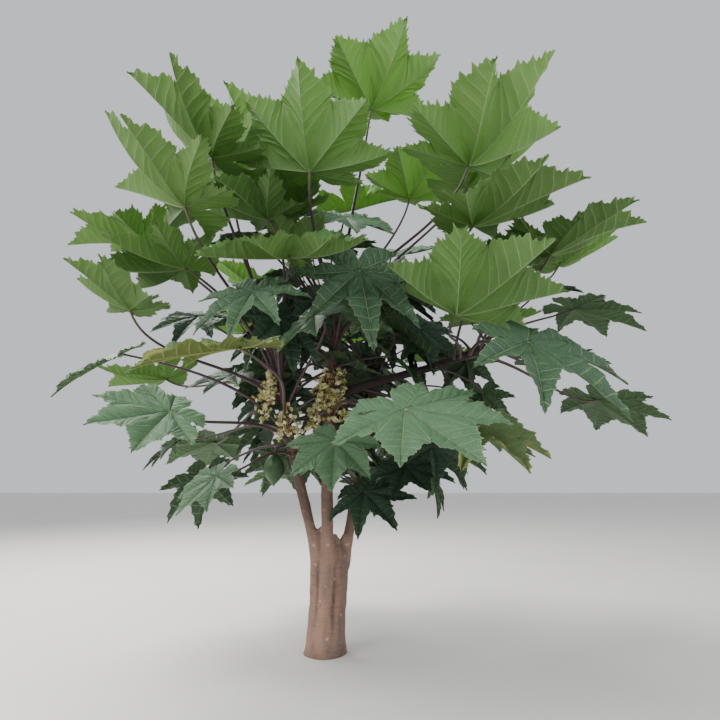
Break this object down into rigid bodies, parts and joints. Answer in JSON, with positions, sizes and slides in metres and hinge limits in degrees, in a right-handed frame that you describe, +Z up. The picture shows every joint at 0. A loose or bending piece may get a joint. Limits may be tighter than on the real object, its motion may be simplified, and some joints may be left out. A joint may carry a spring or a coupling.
{
  "type": "papaya tree",
  "caption": "Rooted papaya tree: a short fluted trunk forks into slender stems that carry a wide crown of large lobed leaves, with blossom and green fruit.",
  "frame": {"origin": "middle of the flat cut under the trunk, at ground level", "axes": "+Z up from the ground, -Y towards the side that the picture shows, +X to the right as seen from that side"},
  "size_m": [4.1902, 3.936, 3.9546],
  "materials": {
    "bark": "matt pinkish grey-brown bark, fluted, with leaf scars and pale specks",
    "leaf_young": "satin yellow-green blade with pale veins on a dark purple-brown stalk",
    "leaf_grown": "satin mid-green blade with pale veins on a dark purple-brown stalk",
    "leaf_old": "satin blue-green blade with pale veins on a dark purple-brown stalk",
    "leaf_deep": "satin dark blue-green blade with deep bays on a dark purple-brown stalk",
    "leaf_fading": "satin green blade that turns yellow",
    "blossom": "matt cream petals on dark reddish stalks",
    "fruit": "smooth, slightly glossy green skin"
  },
  "bodies": {
    "root": {"trunk": "bark", "stem_centre": "bark", "stem_left": "bark", "stem_rear": "bark", "bough_right": "bark", "leaf_centre_01": "leaf_young", "leaf_centre_02": "leaf_young", "leaf_centre_03": "leaf_young", "leaf_centre_04": "leaf_young", "leaf_centre_05": "leaf_young", "leaf_centre_06": "leaf_young", "leaf_centre_07": "leaf_grown", "leaf_centre_08": "leaf_grown", "leaf_centre_09": "leaf_deep", "leaf_centre_10": "leaf_old", "leaf_centre_11": "leaf_old", "leaf_centre_12": "leaf_old", "leaf_centre_13": "leaf_young", "leaf_centre_14": "leaf_grown", "leaf_centre_15": "leaf_old", "leaf_centre_16": "leaf_old", "leaf_left_01": "leaf_grown", "leaf_left_02": "leaf_grown", "leaf_left_03": "leaf_grown", "leaf_left_04": "leaf_grown", "leaf_left_05": "leaf_deep", "leaf_left_06": "leaf_grown", "leaf_left_07": "leaf_old", "leaf_left_08": "leaf_fading", "leaf_left_09": "leaf_old", "leaf_left_10": "leaf_old", "leaf_left_11": "leaf_old", "leaf_left_12": "leaf_young", "leaf_left_13": "leaf_grown", "leaf_left_14": "leaf_old", "leaf_rear_01": "leaf_young", "leaf_rear_02": "leaf_young", "leaf_rear_03": "leaf_young", "leaf_rear_04": "leaf_grown", "leaf_rear_05": "leaf_grown", "leaf_rear_06": "leaf_old", "leaf_rear_07": "leaf_old", "leaf_rear_08": "leaf_old", "leaf_right_01": "leaf_grown", "leaf_right_02": "leaf_old", "leaf_right_03": "leaf_deep", "leaf_right_04": "leaf_young", "leaf_right_05": "leaf_fading", "leaf_right_06": "leaf_young", "leaf_right_07": "leaf_grown", "leaf_right_08": "leaf_old", "leaf_right_09": "leaf_old", "blossom_centre_front": "blossom", "blossom_centre_side": "blossom", "blossom_left": "blossom", "fruit_large": "fruit", "fruit_small": "fruit"}
  },
  "joints": []
}
